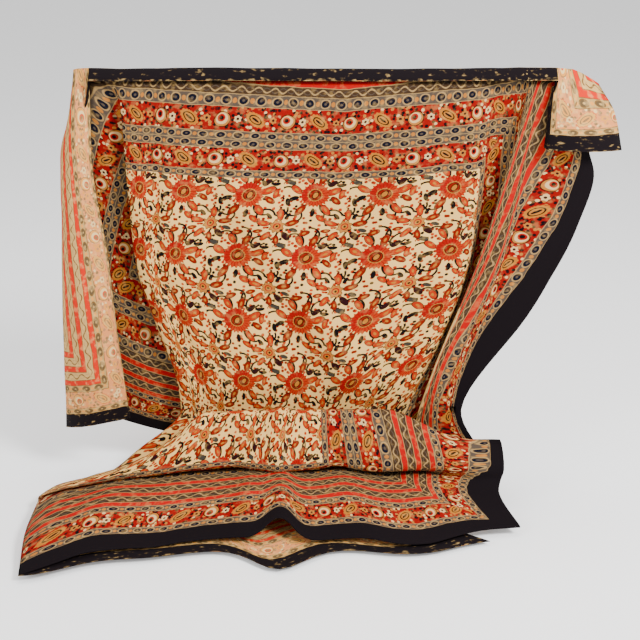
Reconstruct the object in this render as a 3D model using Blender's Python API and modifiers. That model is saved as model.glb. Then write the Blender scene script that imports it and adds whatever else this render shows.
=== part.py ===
# A printed cotton cover, hung by its folded top edge with its foot gathered on the floor.
# Metres, +Z up, the viewer on the -Y side. The origin is the middle of the hanging edge.
import bpy
import numpy as np

# Driving dimensions
CLOTH_WIDTH = 2.45
CLOTH_LENGTH = 2.25
THICKNESS = 0.002
FLOOR = -1.108
HEM_MIDDLE = -0.428
UNDER_BACK = 0.034
WAIST_DROP = 0.912
MID_DROP = 0.455
HANG_FRONT = -0.032
HEM_WAVE = 0.31
HEM_SWAY = 0.012
RUFFLE_AT = -0.088
RUFFLE_REACH = 0.050
EAR_SLANT = 0.04
CLOTH_TONE = (0.62, 0.36, 0.22, 1.0)

# Mesh density: rows down the cloth, and places across the turned-over strip
ROWS_DOWN = 32
STRIP_PLACES = (0.0, 0.20, 0.29, 0.38, 0.57, 0.705, 0.84, 1.0)
COLUMN_STEP = 0.085

# One row for each fold line that runs down the cloth, from the left side to the right.
# u_top is where it leaves the hanging edge, u_end and v_end where it leaves the cloth.
# x values are across positions at each level, back_hang pushes the hanging layer back, and
# under is 1 for a layer that lies along the floor beneath the front one.
FOLD_COLUMNS = ("u_top", "u_end", "v_end", "x_top", "x_mid", "x_waist", "x_crest",
                "x_lip", "x_hem", "back_hang", "under")
FOLDS = {
    "ear_back": (0.950, 0.00, 0.37, -0.550, -0.600, -0.600, -0.60, -0.60, -0.60, 0.046, 1.0),
    "side_strip": (0.975, 0.00, 0.66, -0.530, -0.503, -0.450, -0.42, -0.40, -0.40, 0.056, 1.0),
    "back_panel": (0.983, 0.00, 0.95, -0.522, -0.390, -0.240, -0.18, -0.15, -0.12, 0.080, 1.0),
    "inner_fold": (0.990, 0.00, 1.35, -0.515, -0.260, 0.000, 0.08, 0.12, 0.16, 0.066, 1.0),
    "corner_b": (1.000, 0.00, 2.25, -0.505, -0.330, -0.135, 0.03, 0.20, 0.445, 0.046, 1.0),
    "under": (1.012, 0.60, 2.25, -0.497, -0.395, -0.250, -0.25, -0.22, -0.16, 0.034, 1.0),
    "tip_fold": (1.030, 1.19, 2.25, -0.485, -0.473, -0.366, -0.70, -0.73, -0.71, 0.017, 0.5),
    "pleat_in": (1.060, 1.25, 2.25, -0.463, -0.449, -0.340, -0.58, -0.66, -0.64, 0.005, 0.0),
    "pleat_out": (1.090, 1.32, 2.25, -0.435, -0.433, -0.325, -0.44, -0.58, -0.57, 0.0, 0.0),
    "soft_in": (1.130, 1.42, 2.25, -0.400, -0.407, -0.300, -0.36, -0.47, -0.47, 0.010, 0.0),
    "left_front": (1.190, 1.55, 2.25, -0.350, -0.350, -0.245, -0.30, -0.35, -0.37, 0.002, 0.0),
    "front": (1.400, 1.72, 2.25, -0.125, -0.132, -0.080, -0.17, -0.185, -0.185, 0.0, 0.0),
    "front_mid": (1.650, 1.78, 2.25, 0.125, 0.105, 0.068, -0.10, -0.125, -0.12, 0.004, 0.0),
    "front_right": (1.930, 1.86, 2.25, 0.405, 0.385, 0.213, -0.03, -0.05, -0.035, 0.006, 0.0),
    "shadow_side": (2.020, 1.94, 2.25, 0.475, 0.440, 0.275, 0.020, 0.020, 0.045, 0.072, 0.0),
    "deep_fold": (2.100, 2.04, 2.25, 0.522, 0.500, 0.345, 0.080, 0.100, 0.135, 0.054, 0.0),
    "lit_edge": (2.180, 2.20, 2.25, 0.545, 0.440, 0.287, 0.190, 0.225, 0.290, 0.016, 0.0),
    "corner_a": (2.215, 2.45, 2.25, 0.560, 0.480, 0.350, 0.420, 0.445, 0.526, 0.020, 0.0),
    "side_low": (2.225, 2.45, 1.20, 0.567, 0.515, 0.404, 0.540, 0.550, 0.560, 0.030, 0.0),
    "side_mid": (2.235, 2.45, 0.64, 0.575, 0.700, 0.760, 0.70, 0.70, 0.70, 0.036, 0.0),
    "side_tuck": (2.242, 2.45, 0.44, 0.583, 0.850, 1.000, 0.90, 0.90, 0.90, 0.046, 0.0),
    "ear_edge": (2.250, 2.45, 0.27, 0.592, 0.900, 1.200, 1.00, 1.00, 1.00, 0.060, 0.0),
}

# One row for each level of the gathered foot: the distance of the level from the lower hem,
# then how far forward (y) and how high (z) it lies at the left tip, in the middle and right.
LEVEL_COLUMNS = ("from_hem", "y_left", "z_left", "y_mid", "z_mid", "y_right", "z_right")
LEVELS = {
    "knee_back": (0.930, -0.050, -1.000, -0.030, -1.045, -0.034, -1.000),
    "knee_front": (0.860, -0.110, -1.070, -0.078, -1.058, -0.072, -1.020),
    "crest": (0.640, -0.190, -1.062, -0.128, -0.866, -0.140, -0.950),
    "lip": (0.468, -0.240, -1.052, -0.205, -1.000, -0.196, -1.010),
    "tuck": (0.3625, -0.215, -1.064, -0.120, -1.038, -0.208, -1.030),
    "band": (0.2575, -0.285, -1.056, -0.214, -1.022, -0.222, -1.046),
    "hem": (0.0, -0.553, -1.086, -0.428, -1.086, -0.350, -1.086),
}
# The same levels for the hidden layer, which turns forward along the floor beneath the front.
UNDER_LEVELS = {
    "knee_back": (0.010, -1.060),
    "knee_front": (-0.030, -1.092),
    "crest": (-0.120, -1.096),
    "lip": (-0.200, -1.096),
    "tuck": (-0.250, -1.098),
    "band": (-0.300, -1.098),
    "hem": (-0.462, -1.099),
}
LEFT_REACH = (-0.72, -0.34)
RIGHT_REACH = (0.30, 0.526)

# One row for each section of the two ears and of the hanging edge between them.
# The five places across the strip: hem, turn, face, fold and inner. Each has x, y, z.
EAR_COLUMNS = ("drop", "x_hem", "x_turn", "x_face", "x_fold", "x_inner", "bulk")
LEFT_EAR = {
    "bottom": (0.965, -0.570, -0.500, -0.600, -0.692, -0.655, 0.050),
    "low": (0.720, -0.575, -0.517, -0.600, -0.680, -0.650, 0.052),
    "middle": (0.450, -0.585, -0.535, -0.605, -0.664, -0.640, 0.048),
    "high": (0.200, -0.590, -0.560, -0.610, -0.650, -0.625, 0.036),
}
RIGHT_EAR = {
    "low": (0.186, 0.585, 0.590, 0.680, 0.785, 0.735, 0.030),
    "high": (0.090, 0.588, 0.592, 0.665, 0.760, 0.715, 0.028),
}
STRIP_SHARES = (0.0, 0.20, 0.38, 0.57, 0.84, 1.0)
# How much of the strip's cloth lies between its hem and each of those places
STRIP_CLOTH = (0.0, 0.16, 0.52, 0.86, 0.95, 1.0)
# y and z of those places where the strip lies over the hanging edge
EDGE_PROFILE = {
    "hem": (-0.036, -0.008),
    "turn": (-0.006, 0.018),
    "face": (0.046, -0.028),
    "fold": (0.040, -0.094),
    "inner": (0.004, -0.004),
}



def spline(knots, values, at):
    """Values between knots by monotone cubic pieces, so a fold keeps its edge."""
    knots = np.asarray(knots, float)
    values = np.asarray(values, float)
    step = np.diff(knots)
    rise = np.diff(values, axis=0) / step.reshape(-1, *[1] * (values.ndim - 1))
    slope = np.zeros_like(values)
    same = rise[:-1] * rise[1:] > 0
    total = np.abs(rise[:-1]) + np.abs(rise[1:]) + 1e-12
    slope[1:-1] = np.where(same, 2 * rise[:-1] * rise[1:] / np.where(same, rise[:-1] + rise[1:], total), 0)
    slope[0], slope[-1] = rise[0], rise[-1]
    at = np.clip(np.asarray(at, float), knots[0], knots[-1])
    cell = np.clip(np.searchsorted(knots, at, side="right") - 1, 0, len(step) - 1)
    wide = step[cell]
    t = (at - knots[cell]) / wide
    shape = (-1,) + (1,) * (values.ndim - 1)
    t, wide = t.reshape(shape), wide.reshape(shape)
    return (
        (2 * t**3 - 3 * t**2 + 1) * values[cell]
        + (t**3 - 2 * t**2 + t) * wide * slope[cell]
        + (3 * t**2 - 2 * t**3) * values[cell + 1]
        + (t**3 - t**2) * wide * slope[cell + 1]
    )


def column(name):
    return np.array([row[FOLD_COLUMNS.index(name)] for row in FOLDS.values()])


def v_top(u):
    """How far below the cloth's edge the hanging line lies: less in the middle, where it dips."""
    return np.interp(u, (0.95, 1.60, 2.25), (0.270, 0.236, 0.290))


def folds_at(across):
    return {name: spline(np.arange(len(FOLDS)), column(name), across) for name in FOLD_COLUMNS}


def eased(share):
    share = np.clip(share, 0, 1)
    return 0.5 * share + 0.5 * share * share * (3 - 2 * share)


def foot_place(x_hem, level):
    """The y and z of a level, eased from its left and right values to the middle one."""
    row = LEVELS[level]
    left = eased((LEFT_REACH[1] - x_hem) / (LEFT_REACH[1] - LEFT_REACH[0]))
    right = eased((x_hem - RIGHT_REACH[0]) / (RIGHT_REACH[1] - RIGHT_REACH[0]))
    y = row[3] + left * (row[1] - row[3]) + right * (row[5] - row[3])
    z = row[4] + left * (row[2] - row[4]) + right * (row[6] - row[4])
    wave = np.sin(x_hem / HEM_WAVE * 2 * np.pi)
    if level in ("lip", "band"):
        y += 0.006 * wave
    if level == "hem":
        y += HEM_SWAY * wave
    return y, z


def ruffle(x, reach):
    """How near a place is to the middle of the ruffle in the lower hem, 0 to 1."""
    return np.exp(-(((x - RUFFLE_AT) / reach) ** 2))


def fold_path(fold):
    """The places a fold line passes, and the length of cloth used to reach each."""
    top = v_top(fold["u_top"])
    run = np.hypot(fold["u_top"] - fold["u_end"], fold["v_end"] - top)
    dip = max((fold["v_end"] - top) / run, 0.894)
    back = fold["back_hang"]
    lean = (fold["x_mid"] - fold["x_top"]) / MID_DROP
    slack = np.hypot(1, lean)
    places = [
        (0, fold["x_top"], HANG_FRONT + 0.006 + 0.3 * back, -0.020),
        (0.10 * slack, fold["x_top"] + 0.10 * lean, HANG_FRONT + 0.6 * back, -0.120),
        (MID_DROP * slack, fold["x_mid"], HANG_FRONT + back, -MID_DROP),
    ]
    lower = (fold["x_waist"] - fold["x_mid"]) / (WAIST_DROP - MID_DROP)
    waist = places[-1][0] + (WAIST_DROP - MID_DROP) * np.hypot(1, lower)
    back *= 0.5 + 0.3 * fold["under"]
    places.append((waist, fold["x_waist"], HANG_FRONT + back, -WAIST_DROP))
    across = {"knee_back": 0.35, "knee_front": 0.6}
    hem_y = foot_place(fold["x_hem"], "hem")[0]
    for level, row in LEVELS.items():
        y, z = foot_place(fold["x_hem"], level)
        below = UNDER_LEVELS[level]
        behind = fold["back_hang"] - UNDER_BACK
        under = fold["under"]
        y += under * (below[0] + behind + 0.8 * (hem_y - HEM_MIDDLE) * (row[0] < 0.3) - y)
        z += under * (below[1] - 0.12 * behind - z)
        if level in ("band", "hem"):
            full = 1.0 if level == "hem" else 0.35
            lift = (1 - under) * ruffle(fold["x_hem"], RUFFLE_REACH)
            y += full * (0.050 * lift - 0.064 * under * ruffle(fold["x_hem"], 1.6 * RUFFLE_REACH))
            z += full * 0.040 * lift
        used = (CLOTH_LENGTH - row[0] - top) / dip
        if level in across:
            x = fold["x_waist"] + across[level] * (fold["x_crest"] - fold["x_waist"])
        else:
            x = {"crest": fold["x_crest"], "hem": fold["x_hem"]}.get(level, fold["x_lip"])
        places.append((used, x, y, z))
    places = np.array(places)
    places[4:, 0] = np.maximum(places[4:, 0], waist + 0.03 * np.arange(1, len(LEVELS) + 1))
    return places, run


def body_sheet(across, down):
    """Points and cloth coordinates of the body: one column for each across value."""
    rows = folds_at(across)
    points, cloth = [], []
    for i in range(len(across)):
        fold = {name: float(values[i]) for name, values in rows.items()}
        places, run = fold_path(fold)
        used = run * down
        dense = np.linspace(0, places[-1, 0], 240)
        line = spline(places[:, 0], places[:, 1:], dense)
        line[:, 2] = np.maximum(line[:, 2], FLOOR + 0.001)
        points.append(np.stack([np.interp(used, dense, line[:, k]) for k in range(3)], 1))
        share = down
        top = v_top(fold["u_top"])
        u = fold["u_top"] + share * (fold["u_end"] - fold["u_top"])
        v = top + share * (fold["v_end"] - top)
        cloth.append(np.stack([u, v], 1))
    return np.array(points), np.array(cloth)


def ear_section(row):
    drop, hem, turn, face, fold, inner, bulk = row
    low, high = -drop * (1 + EAR_SLANT), -drop * (1 - 0.4 * EAR_SLANT)
    return np.array([
        (hem, -0.012 - 0.25 * bulk, high), (turn, -0.022 - 0.6 * bulk, high),
        (face, -0.022 - bulk, -drop), (fold, -0.004, low), (inner, 0.012, low),
    ])


def strip_sheet(body, cloth, shares):
    """The strip turned over at the top, joined to the body along both ears and the edge."""
    line = np.concatenate([body[0, ::-1], body[1:-1, 0], body[-1]])
    mat = np.concatenate([cloth[0, ::-1], cloth[1:-1, 0], cloth[-1]])
    down, across = body.shape[1], body.shape[0]
    left = [ear_section(row) for row in LEFT_EAR.values()]
    left_drop = [row[0] for row in LEFT_EAR.values()]
    right = [ear_section(row) for row in RIGHT_EAR.values()]
    right_drop = [row[0] for row in RIGHT_EAR.values()]
    edge = np.array(list(EDGE_PROFILE.values()))

    def edge_section(x, sag):
        return np.array([(x, y, z - sag * (z < -0.02)) for y, z in edge])

    sections = []
    corner_left = edge_section(line[down][0] - 0.012, 0.0)
    corner_left[2] += (-0.040, -0.046, 0.042)
    corner_left[3] += (-0.050, -0.010, 0.020)
    corner_left[4] += (-0.024, 0.006, -0.010)
    corner_right = edge_section(line[-down][0] + 0.012, 0.0)
    corner_right[2] += (0.040, -0.046, 0.042)
    corner_right[3] += (0.116, -0.010, 0.066)
    corner_right[4] += (0.028, 0.006, -0.010)
    left_keys = left_drop + [0.03]
    left_rows = left + [corner_left]
    right_keys = [0.02] + right_drop[::-1]
    right_rows = [corner_right] + right[::-1]
    for i, place in enumerate(line):
        drop = -place[2]
        if i < down:
            order = np.argsort(left_keys)
            key = np.array(left_keys)[order]
            sections.append(spline(key, np.array(left_rows)[order], [drop])[0])
        elif i >= len(line) - down:
            order = np.argsort(right_keys)
            key = np.array(right_keys)[order]
            sections.append(spline(key, np.array(right_rows)[order], [drop])[0])
        else:
            share = (i - down) / max(across - 3, 1)
            plain = edge_section(place[0], 0.012 * np.sin(3.1416 * share))
            start = np.clip(1 - (place[0] - line[down][0]) / 0.05, 0, 1)
            stop = np.clip(1 - (line[-down][0] - place[0]) / 0.05, 0, 1)
            plain += start * (corner_left - edge_section(line[down][0], 0))
            plain += stop * (corner_right - edge_section(line[-down][0], 0))
            sections.append(plain)
    knots = np.array(STRIP_SHARES)
    across_strip = np.interp(shares, knots, STRIP_CLOTH)
    points, flat = [], []
    for i, place in enumerate(line):
        stack = np.vstack([sections[i], place])
        points.append(spline(knots, stack, shares))
        v = mat[i, 1] * across_strip
        u = np.full(len(shares), mat[i, 0])
        flat.append(np.stack([u, v], 1))
    return np.array(points), np.array(flat)


def across_values(step):
    """Positions between the fold lines, closer where less cloth lies between them."""
    u_top, u_end, v_end = column("u_top"), column("u_end"), column("v_end")
    x_mid, x_lip = column("x_mid"), column("x_lip")
    values = [0.0]
    for i in range(len(FOLDS) - 1):
        wide = max(abs(u_top[i + 1] - u_top[i]), abs(x_mid[i + 1] - x_mid[i]),
                   abs(u_end[i + 1] - u_end[i]) * 0.8, abs(x_lip[i + 1] - x_lip[i]) * 0.8,
                   0.6 * abs(v_end[i + 1] - v_end[i]))
        pieces = int(min(max(round(wide / step), 2), 8 * 0.085 / step))
        values += [i + (k + 1) / pieces for k in range(pieces)]
    return np.array(values)


def sheet_grid():
    across = across_values(COLUMN_STEP)
    down = np.linspace(0, 1, ROWS_DOWN + 1)
    body, cloth = body_sheet(across, down)
    shares = np.array(STRIP_PLACES)
    strip, flat = strip_sheet(body, cloth, shares)
    return body, cloth, strip, flat


def sheet_mesh(body, strip):
    """One sheet of four-sided faces: the body, then the strip sharing its border points."""
    columns, rows = body.shape[:2]
    points = list(body.reshape(-1, 3))
    border = [r for r in range(rows - 1, -1, -1)]
    border += [c * rows for c in range(1, columns - 1)]
    border += [(columns - 1) * rows + r for r in range(rows)]
    faces = []
    for c in range(columns - 1):
        for r in range(rows - 1):
            a = c * rows + r
            faces.append((a, a + 1, a + rows + 1, a + rows))
    wide = strip.shape[1]
    index = []
    for i, shared in enumerate(border):
        line = []
        for k in range(wide - 1):
            line.append(len(points))
            points.append(strip[i, k])
        index.append(line + [shared])
    for i in range(len(border) - 1):
        for k in range(wide - 1):
            faces.append((index[i][k], index[i][k + 1], index[i + 1][k + 1], index[i + 1][k]))
    return np.array(points), faces


def build():
    for obj in list(bpy.data.objects):
        bpy.data.objects.remove(obj, do_unlink=True)
    home = bpy.data.collections.new("kalamkari_panel")
    bpy.context.scene.collection.children.link(home)
    body, cloth, strip, flat = sheet_grid()
    points, faces = sheet_mesh(body, strip)
    mesh = bpy.data.meshes.new("cloth")
    mesh.from_pydata([tuple(p) for p in points], [], faces)
    mesh.update()
    obj = bpy.data.objects.new("cloth", mesh)
    home.objects.link(obj)
    thick = obj.modifiers.new("cotton", "SOLIDIFY")
    thick.thickness = THICKNESS
    thick.offset = 0.0
    thick.use_even_offset = False
    paint = bpy.data.materials.new("printed_cotton")
    paint.use_nodes = True
    look = paint.node_tree.nodes["Principled BSDF"]
    look.inputs["Base Color"].default_value = CLOTH_TONE
    look.inputs["Roughness"].default_value = 0.85
    mesh.materials.append(paint)


build()
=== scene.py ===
import math

import bpy
import numpy as np
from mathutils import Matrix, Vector, noise


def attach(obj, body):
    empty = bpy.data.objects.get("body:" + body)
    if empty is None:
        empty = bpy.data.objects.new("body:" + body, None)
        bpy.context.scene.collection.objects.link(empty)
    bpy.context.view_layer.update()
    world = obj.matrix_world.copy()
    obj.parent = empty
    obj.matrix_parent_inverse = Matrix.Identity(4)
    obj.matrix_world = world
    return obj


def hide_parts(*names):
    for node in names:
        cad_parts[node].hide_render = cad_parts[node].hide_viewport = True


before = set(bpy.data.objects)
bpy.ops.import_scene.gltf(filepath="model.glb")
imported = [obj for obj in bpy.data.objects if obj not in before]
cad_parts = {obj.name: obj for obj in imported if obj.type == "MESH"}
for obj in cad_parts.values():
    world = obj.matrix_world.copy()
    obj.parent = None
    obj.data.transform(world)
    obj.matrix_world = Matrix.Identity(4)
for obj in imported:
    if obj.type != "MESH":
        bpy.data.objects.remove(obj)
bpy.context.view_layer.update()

bl_info = {
    "name": "Kalamkari Panel",
    "version": (1, 0, 0),
    "blender": (4, 5, 0),
    "location": "3D View > Sidebar > Panel",
    "description": "A block-printed cotton cover, hung and folded, on a pale floor",
    "category": "Add Mesh",
}

# Driving dimensions, the same as the solid's
CLOTH_WIDTH = 2.45
CLOTH_LENGTH = 2.25
FLOOR = -1.108
HEM_MIDDLE = -0.428
UNDER_BACK = 0.034
WAIST_DROP = 0.912
MID_DROP = 0.455
HANG_FRONT = -0.032
HEM_WAVE = 0.31
HEM_SWAY = 0.012
RUFFLE_AT = -0.088
RUFFLE_REACH = 0.050
EAR_SLANT = 0.04
MOST_BETWEEN = 0.68
STRIP_ROWS = 18


# One row for each fold line that runs down the cloth, from the left side to the right.
# u_top is where it leaves the hanging edge, u_end and v_end where it leaves the cloth.
# x values are across positions at each level, back_hang pushes the hanging layer back, and
# under is 1 for a layer that lies along the floor beneath the front one.
FOLD_COLUMNS = ("u_top", "u_end", "v_end", "x_top", "x_mid", "x_waist", "x_crest",
                "x_lip", "x_hem", "back_hang", "under")
FOLDS = {
    "ear_back": (0.950, 0.00, 0.37, -0.550, -0.600, -0.600, -0.60, -0.60, -0.60, 0.046, 1.0),
    "side_strip": (0.975, 0.00, 0.66, -0.530, -0.503, -0.450, -0.42, -0.40, -0.40, 0.056, 1.0),
    "back_panel": (0.983, 0.00, 0.95, -0.522, -0.390, -0.240, -0.18, -0.15, -0.12, 0.080, 1.0),
    "inner_fold": (0.990, 0.00, 1.35, -0.515, -0.260, 0.000, 0.08, 0.12, 0.16, 0.066, 1.0),
    "corner_b": (1.000, 0.00, 2.25, -0.505, -0.330, -0.135, 0.03, 0.20, 0.445, 0.046, 1.0),
    "under": (1.012, 0.60, 2.25, -0.497, -0.395, -0.250, -0.25, -0.22, -0.16, 0.034, 1.0),
    "tip_fold": (1.030, 1.19, 2.25, -0.485, -0.473, -0.366, -0.70, -0.73, -0.71, 0.017, 0.5),
    "pleat_in": (1.060, 1.25, 2.25, -0.463, -0.449, -0.340, -0.58, -0.66, -0.64, 0.005, 0.0),
    "pleat_out": (1.090, 1.32, 2.25, -0.435, -0.433, -0.325, -0.44, -0.58, -0.57, 0.0, 0.0),
    "soft_in": (1.130, 1.42, 2.25, -0.400, -0.407, -0.300, -0.36, -0.47, -0.47, 0.010, 0.0),
    "left_front": (1.190, 1.55, 2.25, -0.350, -0.350, -0.245, -0.30, -0.35, -0.37, 0.002, 0.0),
    "front": (1.400, 1.72, 2.25, -0.125, -0.132, -0.080, -0.17, -0.185, -0.185, 0.0, 0.0),
    "front_mid": (1.650, 1.78, 2.25, 0.125, 0.105, 0.068, -0.10, -0.125, -0.12, 0.004, 0.0),
    "front_right": (1.930, 1.86, 2.25, 0.405, 0.385, 0.213, -0.03, -0.05, -0.035, 0.006, 0.0),
    "shadow_side": (2.020, 1.94, 2.25, 0.475, 0.440, 0.275, 0.020, 0.020, 0.045, 0.072, 0.0),
    "deep_fold": (2.100, 2.04, 2.25, 0.522, 0.500, 0.345, 0.080, 0.100, 0.135, 0.054, 0.0),
    "lit_edge": (2.180, 2.20, 2.25, 0.545, 0.440, 0.287, 0.190, 0.225, 0.290, 0.016, 0.0),
    "corner_a": (2.215, 2.45, 2.25, 0.560, 0.480, 0.350, 0.420, 0.445, 0.526, 0.020, 0.0),
    "side_low": (2.225, 2.45, 1.20, 0.567, 0.515, 0.404, 0.540, 0.550, 0.560, 0.030, 0.0),
    "side_mid": (2.235, 2.45, 0.64, 0.575, 0.700, 0.760, 0.70, 0.70, 0.70, 0.036, 0.0),
    "side_tuck": (2.242, 2.45, 0.44, 0.583, 0.850, 1.000, 0.90, 0.90, 0.90, 0.046, 0.0),
    "ear_edge": (2.250, 2.45, 0.27, 0.592, 0.900, 1.200, 1.00, 1.00, 1.00, 0.060, 0.0),
}

# One row for each level of the gathered foot: the distance of the level from the lower hem,
# then how far forward (y) and how high (z) it lies at the left tip, in the middle and right.
LEVEL_COLUMNS = ("from_hem", "y_left", "z_left", "y_mid", "z_mid", "y_right", "z_right")
LEVELS = {
    "knee_back": (0.930, -0.050, -1.000, -0.030, -1.045, -0.034, -1.000),
    "knee_front": (0.860, -0.110, -1.070, -0.078, -1.058, -0.072, -1.020),
    "crest": (0.640, -0.190, -1.062, -0.128, -0.866, -0.140, -0.950),
    "lip": (0.468, -0.240, -1.052, -0.205, -1.000, -0.196, -1.010),
    "tuck": (0.3625, -0.215, -1.064, -0.120, -1.038, -0.208, -1.030),
    "band": (0.2575, -0.285, -1.056, -0.214, -1.022, -0.222, -1.046),
    "hem": (0.0, -0.553, -1.086, -0.428, -1.086, -0.350, -1.086),
}
# The same levels for the hidden layer, which turns forward along the floor beneath the front.
UNDER_LEVELS = {
    "knee_back": (0.010, -1.060),
    "knee_front": (-0.030, -1.092),
    "crest": (-0.120, -1.096),
    "lip": (-0.200, -1.096),
    "tuck": (-0.250, -1.098),
    "band": (-0.300, -1.098),
    "hem": (-0.462, -1.099),
}
LEFT_REACH = (-0.72, -0.34)
RIGHT_REACH = (0.30, 0.526)

# One row for each section of the two ears and of the hanging edge between them.
# The five places across the strip: hem, turn, face, fold and inner. Each has x, y, z.
EAR_COLUMNS = ("drop", "x_hem", "x_turn", "x_face", "x_fold", "x_inner", "bulk")
LEFT_EAR = {
    "bottom": (0.965, -0.570, -0.500, -0.600, -0.692, -0.655, 0.050),
    "low": (0.720, -0.575, -0.517, -0.600, -0.680, -0.650, 0.052),
    "middle": (0.450, -0.585, -0.535, -0.605, -0.664, -0.640, 0.048),
    "high": (0.200, -0.590, -0.560, -0.610, -0.650, -0.625, 0.036),
}
RIGHT_EAR = {
    "low": (0.186, 0.585, 0.590, 0.680, 0.785, 0.735, 0.030),
    "high": (0.090, 0.588, 0.592, 0.665, 0.760, 0.715, 0.028),
}
STRIP_SHARES = (0.0, 0.20, 0.38, 0.57, 0.84, 1.0)
# How much of the strip's cloth lies between its hem and each of those places
STRIP_CLOTH = (0.0, 0.16, 0.52, 0.86, 0.95, 1.0)
# y and z of those places where the strip lies over the hanging edge
EDGE_PROFILE = {
    "hem": (-0.036, -0.008),
    "turn": (-0.006, 0.018),
    "face": (0.046, -0.028),
    "fold": (0.040, -0.094),
    "inner": (0.004, -0.004),
}


def spline(knots, values, at):
    """Values between knots by monotone cubic pieces, so a fold keeps its edge."""
    knots = np.asarray(knots, float)
    values = np.asarray(values, float)
    step = np.diff(knots)
    rise = np.diff(values, axis=0) / step.reshape(-1, *[1] * (values.ndim - 1))
    slope = np.zeros_like(values)
    same = rise[:-1] * rise[1:] > 0
    total = np.abs(rise[:-1]) + np.abs(rise[1:]) + 1e-12
    both = np.where(same, rise[:-1] + rise[1:], total)
    slope[1:-1] = np.where(same, 2 * rise[:-1] * rise[1:] / both, 0)
    slope[0], slope[-1] = rise[0], rise[-1]
    at = np.clip(np.asarray(at, float), knots[0], knots[-1])
    cell = np.clip(np.searchsorted(knots, at, side="right") - 1, 0, len(step) - 1)
    wide = step[cell]
    t = (at - knots[cell]) / wide
    shape = (-1,) + (1,) * (values.ndim - 1)
    t, wide = t.reshape(shape), wide.reshape(shape)
    return (
        (2 * t**3 - 3 * t**2 + 1) * values[cell]
        + (t**3 - 2 * t**2 + t) * wide * slope[cell]
        + (3 * t**2 - 2 * t**3) * values[cell + 1]
        + (t**3 - t**2) * wide * slope[cell + 1]
    )


def column(name):
    return np.array([row[FOLD_COLUMNS.index(name)] for row in FOLDS.values()])


def v_top(u):
    """How far below the cloth's edge the hanging line lies: less in the middle, where it dips."""
    return np.interp(u, (0.95, 1.60, 2.25), (0.270, 0.236, 0.290))


def folds_at(across):
    return {name: spline(np.arange(len(FOLDS)), column(name), across) for name in FOLD_COLUMNS}


def eased(share):
    share = np.clip(share, 0, 1)
    return 0.5 * share + 0.5 * share * share * (3 - 2 * share)


def foot_place(x_hem, level):
    """The y and z of a level, eased from its left and right values to the middle one."""
    row = LEVELS[level]
    left = eased((LEFT_REACH[1] - x_hem) / (LEFT_REACH[1] - LEFT_REACH[0]))
    right = eased((x_hem - RIGHT_REACH[0]) / (RIGHT_REACH[1] - RIGHT_REACH[0]))
    y = row[3] + left * (row[1] - row[3]) + right * (row[5] - row[3])
    z = row[4] + left * (row[2] - row[4]) + right * (row[6] - row[4])
    wave = np.sin(x_hem / HEM_WAVE * 2 * np.pi)
    if level in ("lip", "band"):
        y += 0.006 * wave
    if level == "hem":
        y += HEM_SWAY * wave
    return y, z


def ruffle(x, reach):
    """How near a place is to the middle of the ruffle in the lower hem, 0 to 1."""
    return np.exp(-(((x - RUFFLE_AT) / reach) ** 2))


def fold_path(fold):
    """The places a fold line passes, and the length of cloth used to reach each."""
    top = v_top(fold["u_top"])
    run = np.hypot(fold["u_top"] - fold["u_end"], fold["v_end"] - top)
    dip = max((fold["v_end"] - top) / run, 0.894)
    back = fold["back_hang"]
    lean = (fold["x_mid"] - fold["x_top"]) / MID_DROP
    slack = np.hypot(1, lean)
    places = [
        (0, fold["x_top"], HANG_FRONT + 0.006 + 0.3 * back, -0.020),
        (0.10 * slack, fold["x_top"] + 0.10 * lean, HANG_FRONT + 0.6 * back, -0.120),
        (MID_DROP * slack, fold["x_mid"], HANG_FRONT + back, -MID_DROP),
    ]
    lower = (fold["x_waist"] - fold["x_mid"]) / (WAIST_DROP - MID_DROP)
    waist = places[-1][0] + (WAIST_DROP - MID_DROP) * np.hypot(1, lower)
    back *= 0.5 + 0.3 * fold["under"]
    places.append((waist, fold["x_waist"], HANG_FRONT + back, -WAIST_DROP))
    across = {"knee_back": 0.35, "knee_front": 0.6}
    hem_y = foot_place(fold["x_hem"], "hem")[0]
    for level, row in LEVELS.items():
        y, z = foot_place(fold["x_hem"], level)
        below = UNDER_LEVELS[level]
        behind = fold["back_hang"] - UNDER_BACK
        under = fold["under"]
        y += under * (below[0] + behind + 0.8 * (hem_y - HEM_MIDDLE) * (row[0] < 0.3) - y)
        z += under * (below[1] - 0.12 * behind - z)
        if level in ("band", "hem"):
            full = 1.0 if level == "hem" else 0.35
            lift = (1 - under) * ruffle(fold["x_hem"], RUFFLE_REACH)
            y += full * (0.050 * lift - 0.064 * under * ruffle(fold["x_hem"], 1.6 * RUFFLE_REACH))
            z += full * 0.040 * lift
        used = (CLOTH_LENGTH - row[0] - top) / dip
        if level in across:
            x = fold["x_waist"] + across[level] * (fold["x_crest"] - fold["x_waist"])
        else:
            x = {"crest": fold["x_crest"], "hem": fold["x_hem"]}.get(level, fold["x_lip"])
        places.append((used, x, y, z))
    places = np.array(places)
    places[4:, 0] = np.maximum(places[4:, 0], waist + 0.03 * np.arange(1, len(LEVELS) + 1))
    return places, run


def body_sheet(across, down):
    """Points and cloth coordinates of the body: one column for each across value."""
    rows = folds_at(across)
    points, cloth = [], []
    for i in range(len(across)):
        fold = {name: float(values[i]) for name, values in rows.items()}
        places, run = fold_path(fold)
        used = run * down
        dense = np.linspace(0, places[-1, 0], 240)
        line = spline(places[:, 0], places[:, 1:], dense)
        line[:, 2] = np.maximum(line[:, 2], FLOOR + 0.001)
        points.append(np.stack([np.interp(used, dense, line[:, k]) for k in range(3)], 1))
        share = down
        top = v_top(fold["u_top"])
        u = fold["u_top"] + share * (fold["u_end"] - fold["u_top"])
        v = top + share * (fold["v_end"] - top)
        cloth.append(np.stack([u, v], 1))
    return np.array(points), np.array(cloth)


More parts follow.
